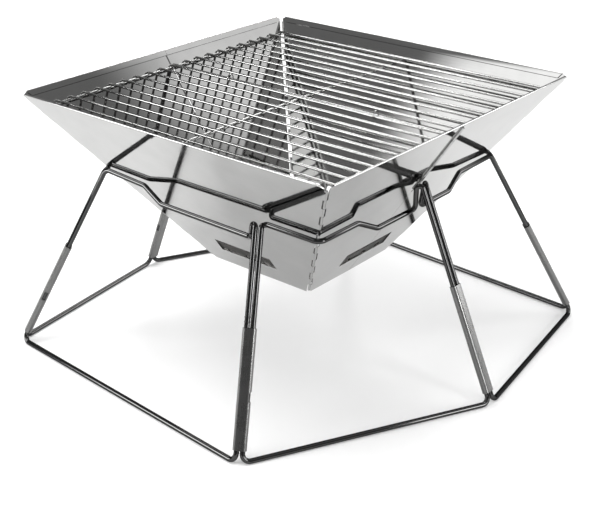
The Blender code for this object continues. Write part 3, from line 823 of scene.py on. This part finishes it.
def rolled_hem(low, high, corners):
    """The rim folded over to the inside, as one (mesh, place) pair in the wall's frame.

    It is cut back on a slant at each end that stands at a corner, -1 or +1.
    """
    inside = -SHEET / 2 - HEM_THICKNESS
    outline = [(-HEM_WIDTH, inside), (-HEM_FOLD, inside)]
    for step in range(1, FOLD_STEPS):
        angle = math.pi * step / FOLD_STEPS
        top = HEM_FOLD * math.sin(angle) ** FOLD_FLATNESS
        outline.append((-HEM_FOLD + top, -HEM_THICKNESS / 2 - HEM_FOLD * math.cos(angle)))
    outline += [(-HEM_FOLD, SHEET / 2), (-HEM_FOLD - HEM_OVERLAP, SHEET / 2)]
    outline.append((-HEM_FOLD - HEM_OVERLAP, -SHEET / 2 - HEM_GAP))
    outline.append((HEM_UNDERCUT - HEM_WIDTH, -SHEET / 2 - HEM_GAP))
    mesh = plate_mesh("hem", [outline], high - low)
    for vertex in mesh.vertices:
        side = math.copysign(1, vertex.co.z)
        if side in corners:
            vertex.co.z += side * HEM_MITRE * min(0.0, vertex.co.x + HEM_FOLD)
    matrix = Matrix(((0, 0, 1, (low + high) / 2), (1, 0, 0, 0), (0, 1, 0, 0), (0, 0, 0, 1)))
    return mesh, matrix


def add_wall(name, heading, parts):
    """Leans the parts of a wall back to its slope, and keeps its X along the rim for the grain."""
    mesh = merged(name + "_sheet", parts)
    turn = Matrix.Rotation(math.radians(heading + 90), 4, "Z")
    mesh.transform(turn.inverted() @ wall_frame(heading))
    add_piece(name + "_sheet", mesh, brushed_sheet, name, name, turn)


def vent_hole():
    """The outline of the air slot near the foot of a wall."""
    reach = VENT_LENGTH / 2
    bottom = -SLANT + VENT_RISE
    top = bottom + VENT_HEIGHT
    return [(-reach, bottom), (reach, bottom), (reach, top), (-reach, top)]


def rigid_wall(name, heading, firsts):
    """A whole wall with a knuckled edge at each end.

    firsts tells for each edge whether it has the hinge's even knuckles, 0, or its odd ones, 1.
    """
    spans = {1: corner_spans(firsts[0]), -1: corner_spans(firsts[1])}
    edges = {
        side: toothed_edge(corner_edge, side, EDGE_LENGTH, spans[side], CORNER_NOTCH / 2)
        for side in (1, -1)
    }
    rim = RIM_SIDE / 2 - HEM_SETBACK
    outline = [(-rim, -HEM_FOLD), (rim, -HEM_FOLD)] + edges[1] + edges[-1][::-1]
    outlines = [outline, vent_hole()]
    sheet = plate_mesh(name, outlines, SHEET, CUT_EDGE)
    parts = [(sheet, Matrix.Identity(4)), rolled_hem(-rim, rim, (-1, 1))]
    for side in (1, -1):
        parts += rolled_knuckles(corner_edge, side, spans[side], -AXIS_OFFSET)
    add_wall(name, heading, parts)


def half_wall(name, heading, side, corner_first, crease_first):
    """Half of a split wall, from its corner hinge to the centre hinge.

    corner_first and crease_first are as in rigid_wall. corner_first is None for a plain edge, as
    one wall has at the bowl's open corner.
    """
    outer = corner_spans(corner_first)
    inner = crease_spans(crease_first)
    edge_outer = toothed_edge(corner_edge, side, EDGE_LENGTH, outer, CORNER_NOTCH / 2)
    edge_inner = seam_edge(side, inner)
    rim = RIM_SIDE / 2 - HEM_SETBACK
    outline = [(side * rim, -HEM_FOLD)] + edge_outer + edge_inner[::-1]
    hem_ends = sorted((side * SEAM_GAP, side * rim))
    sheet = plate_mesh(name, [outline], SHEET, CUT_EDGE)
    parts = [(sheet, Matrix.Identity(4)), rolled_hem(*hem_ends, (side,))]
    parts += rolled_knuckles(corner_edge, side, outer, -AXIS_OFFSET)
    parts += rolled_knuckles(crease_edge, side, inner, AXIS_OFFSET)
    add_wall(name, heading, parts)


rigid_wall("front_wall", FRONT, (0, 1))
rigid_wall("back_wall", BACK, (0, 1))
half_wall("right_wall_near", RIGHT, -1, 1, 0)
half_wall("right_wall_far", RIGHT, 1, 0, 1)
half_wall("left_wall_near", LEFT, 1, 0, 1)
half_wall("left_wall_far", LEFT, -1, None, 0)


# Hinge pins. Plain 1 mm drawn wire, cut to length and slid through the knuckles of two edges, so
# that one turns on the other.
pin_wire = metal(
    "hinge_pin_steel",
    colour=(0.50, 0.50, 0.49),
    roughness=0.20,
    grain=(300, 300, 20),
    grain_depth=0.00001,
    waves=(50, 50, 50),
    wave_depth=0.0001,
    mottle=0.08,
)


def hinge_pin(name, body, heading, place, side, length, depth, start, end):
    """A pin along a hinge of a wall, short of the hinge's ends by start and end."""
    matrix = wall_frame(heading)
    low = matrix @ Vector((*place(side, start, 0.0), depth))
    high = matrix @ Vector((*place(side, length - end, 0.0), depth))
    mesh = wire_mesh(name + "_wire", [low, high], PIN_RADIUS, sides=12)
    add_piece(name + "_wire", mesh, pin_wire, body, name)


for name, body, heading, side in (
    ("front_corner_pin", "front_wall", FRONT, 1),
    ("left_corner_pin", "front_wall", FRONT, -1),
    ("far_corner_pin", "back_wall", BACK, -1),
):
    hinge_pin(
        name, body, heading, corner_edge, side, EDGE_LENGTH, -AXIS_OFFSET, CORNER_NOTCH, CORNER_FOOT
    )
for name, body, heading in (
    ("right_crease_pin", "right_wall_near", RIGHT),
    ("left_crease_pin", "left_wall_near", LEFT),
):
    hinge_pin(
        name, body, heading, crease_edge, 1, CREASE_LENGTH, AXIS_OFFSET, CREASE_END, CREASE_END
    )


# Coal pan. A pierced pan of heavier sheet that rests between the walls, with its rim across the
# vents. It is folded up from one blank, open at the corners, and its steel is given a dark colour and
# a dull gloss.

# The height of the bowl's mouth, how far the pan's floor and rim are above it, the pan's sheet, the
# cut of its corners, and how far its floor stops short of the walls.
BOWL_FLOOR = RIM_HEIGHT - BOWL_DEPTH
PAN_RISE = 0.0175
PAN_TOP = 0.0385
PAN_SHEET = 0.0012
PAN_CORNER = 0.009
PAN_GAP = 0.0002

# The holes, in rows on the floor and one row in each side.
PAN_HOLES = 5
PAN_HOLE_PITCH = 0.028
PAN_HOLE_RADIUS = 0.007
PAN_SIDE_HOLE_RADIUS = 0.0055
PAN_HOLE_SIDES = 24

# The clearance between the walls and what rests in the bowl.
GAP = 0.0003

# The pan's steel gets a near-black colour and a dull gloss.
dark_pan_steel = metal(
    "coal_pan_steel",
    colour=(0.10, 0.097, 0.094),
    roughness=0.24,
    grain=(50, 50, 50),
    grain_depth=0.00003,
    waves=(20, 20, 20),
    wave_depth=0.0003,
    mottle=0.15,
    edge=0.5,
)


def inside_bowl(height):
    """How far out the bowl is open at a height, from the middle to the sheet less a gap."""
    drop = RIM_HEIGHT - height
    return RIM_SIDE / 2 - drop * math.tan(SLOPE) - (SHEET / 2 + GAP) / math.cos(SLOPE)


def hole(x, y, radius):
    """The outline of a round hole in the pan."""
    return [(x + across, y + along) for across, along in circle(radius, PAN_HOLE_SIDES)]


standoff = SHEET / 2 + GAP + PAN_SHEET / 2
low = -(BOWL_DEPTH - PAN_RISE) / math.cos(SLOPE) - standoff * math.tan(SLOPE)
high = -(BOWL_DEPTH - PAN_TOP) / math.cos(SLOPE)
wide = RIM_SIDE / 2 + high * math.tan(EDGE_LEAN) - PAN_CORNER
narrow = RIM_SIDE / 2 + low * math.tan(EDGE_LEAN) - PAN_CORNER
pan_height = BOWL_FLOOR + PAN_RISE
reach = inside_bowl(pan_height - PAN_SHEET / 2) - PAN_GAP
cut = reach - PAN_CORNER
rows = [(index - (PAN_HOLES - 1) / 2) * PAN_HOLE_PITCH for index in range(PAN_HOLES)]
outline = [(-cut, -reach), (cut, -reach), (reach, -cut), (reach, cut)]
outline += [(cut, reach), (-cut, reach), (-reach, cut), (-reach, -cut)]
outlines = [outline] + [hole(x, y, PAN_HOLE_RADIUS) for x in rows for y in rows]
parts = [(plate_mesh("pan", outlines, PAN_SHEET), Matrix.Translation((0.0, 0.0, pan_height)))]
for heading in (FRONT, RIGHT, BACK, LEFT):
    outlines = [[(-narrow, low), (narrow, low), (wide, high), (-wide, high)]]
    outlines += [hole(x, (low + high) / 2, PAN_SIDE_HOLE_RADIUS) for x in rows]
    matrix = wall_frame(heading) @ Matrix.Translation((0.0, 0.0, -standoff))
    parts.append((plate_mesh("pan_side", outlines, PAN_SHEET), matrix))
mesh = merged("coal_pan_sheet", parts)
add_piece("coal_pan_sheet", mesh, dark_pan_steel, "coal_pan", "coal_pan")


# Grate. Two halves of bright 3 mm rods welded on three crossbars, with a nugget at each crossing,
# held along the middle by two loose rings so that one half folds over the other.

# How far the rods are below the rim, the radii and number of the rods, how far they pass the bars
# and the bars pass them, the gap between the halves, and how much the outer bars are shortened.
GRATE_DROP = 0.016
GRATE_ROD = 0.0015
CROSSBAR_ROD = 0.0019
GRATE_RODS = 11
ROD_OVERHANG = 0.0040
BAR_OVERHANG = 0.0010
GRATE_HINGE_GAP = 0.0006
CORNER_MARGIN = 0.0045

# The weld at a crossing: how far the bar is sunk in the rod, and the nugget.
WELD_SINK = 0.0005
NUGGET_RADIUS = 0.0014
NUGGET_LIFT = 0.0001
NUGGET_SHAPE = (1.35, 1.35, 0.6, 1)

# The rings, and the rise of their middles above the rods, about which the grate folds.
FOLD_RISE = GRATE_ROD + 0.00015
RING_WIRE = 0.0006
RING_STEPS = 32
RING_PLACES = (-0.110, 0.110)

# The heights of the rods and the bars, and how far out the bowl lets them reach.
GRATE_Z = RIM_HEIGHT - GRATE_DROP
CROSSBAR_Z = GRATE_Z - GRATE_ROD - CROSSBAR_ROD + WELD_SINK
ROD_REACH = inside_bowl(GRATE_Z - GRATE_ROD)
BAR_REACH = inside_bowl(CROSSBAR_Z - CROSSBAR_ROD)
EDGE_ROD = GRATE_ROD + GRATE_HINGE_GAP / 2

plated_wire = metal(
    "plated_grate",
    colour=(0.33, 0.33, 0.325),
    roughness=0.09,
    grain=(90, 90, 90),
    grain_depth=0.000004,
    waves=(20, 20, 20),
    wave_depth=0.00004,
    mottle=0.06,
    edge=0.6,
)


# How far each ring is from the end of a rod and how wide it is there, in radii.
END_ROUNDING = ((0.0, 0.45), (0.1, 0.68), (0.3, 0.88), (0.7, 1.0), (1.0, 1.0))


def straight_rod(start, end, radius, sides=12):
    """A rod with tumbled, rounded ends."""
    start = Vector(start)
    end = Vector(end)
    along = (end - start).normalized() * radius
    points = [start + along * step for step, width in END_ROUNDING]
    points += [end - along * step for step, width in reversed(END_ROUNDING)]
    widths = [width for step, width in END_ROUNDING]
    mesh = wire_mesh("rod", points, radius, sides=sides, widths=widths + widths[::-1])
    return mesh, Matrix.Identity(4)


def weld_nugget(x, y):
    """A small flattened bead where a rod crosses a bar."""
    shape = bmesh.new()
    bmesh.ops.create_uvsphere(shape, u_segments=10, v_segments=6, radius=NUGGET_RADIUS)
    mesh = bpy.data.meshes.new("weld")
    shape.to_mesh(mesh)
    shape.free()
    place = Matrix.Translation((x, y, GRATE_Z - GRATE_ROD + NUGGET_LIFT))
    return mesh, place @ Matrix.Diagonal(NUGGET_SHAPE)


for name, body, side in (
    ("grate_front_half", "grate_front", -1),
    ("grate_back_half", "grate_back", 1),
):
    outermost = BAR_REACH - CORNER_MARGIN
    step = (outermost - EDGE_ROD) / (GRATE_RODS - 1)
    bar_x = ROD_REACH - ROD_OVERHANG
    parts = []
    for index in range(GRATE_RODS):
        y = side * (EDGE_ROD + step * index)
        parts.append(straight_rod((-ROD_REACH, y, GRATE_Z), (ROD_REACH, y, GRATE_Z), GRATE_ROD))
        parts += [weld_nugget(x, y) for x in (-bar_x, 0.0, bar_x)]
    for x, end in ((-bar_x, outermost), (0.0, BAR_REACH), (bar_x, outermost)):
        near = (x, side * (EDGE_ROD - BAR_OVERHANG), CROSSBAR_Z)
        parts.append(straight_rod(near, (x, side * end, CROSSBAR_Z), CROSSBAR_ROD))
    mesh = merged(name + "_rods", parts)
    add_piece(name + "_rods", mesh, plated_wire, body, name)

ring_radius = math.hypot(EDGE_ROD, FOLD_RISE) + GRATE_ROD + GAP + RING_WIRE
for name, x in zip(("left_grate_ring", "right_grate_ring"), RING_PLACES):
    around = circle(ring_radius, RING_STEPS)
    points = [Vector((x, y, GRATE_Z + FOLD_RISE + z)) for y, z in around]
    mesh = wire_mesh(name + "_wire", points, RING_WIRE, closed=True, sides=10)
    add_piece(name + "_wire", mesh, plated_wire, "grate_front", name)
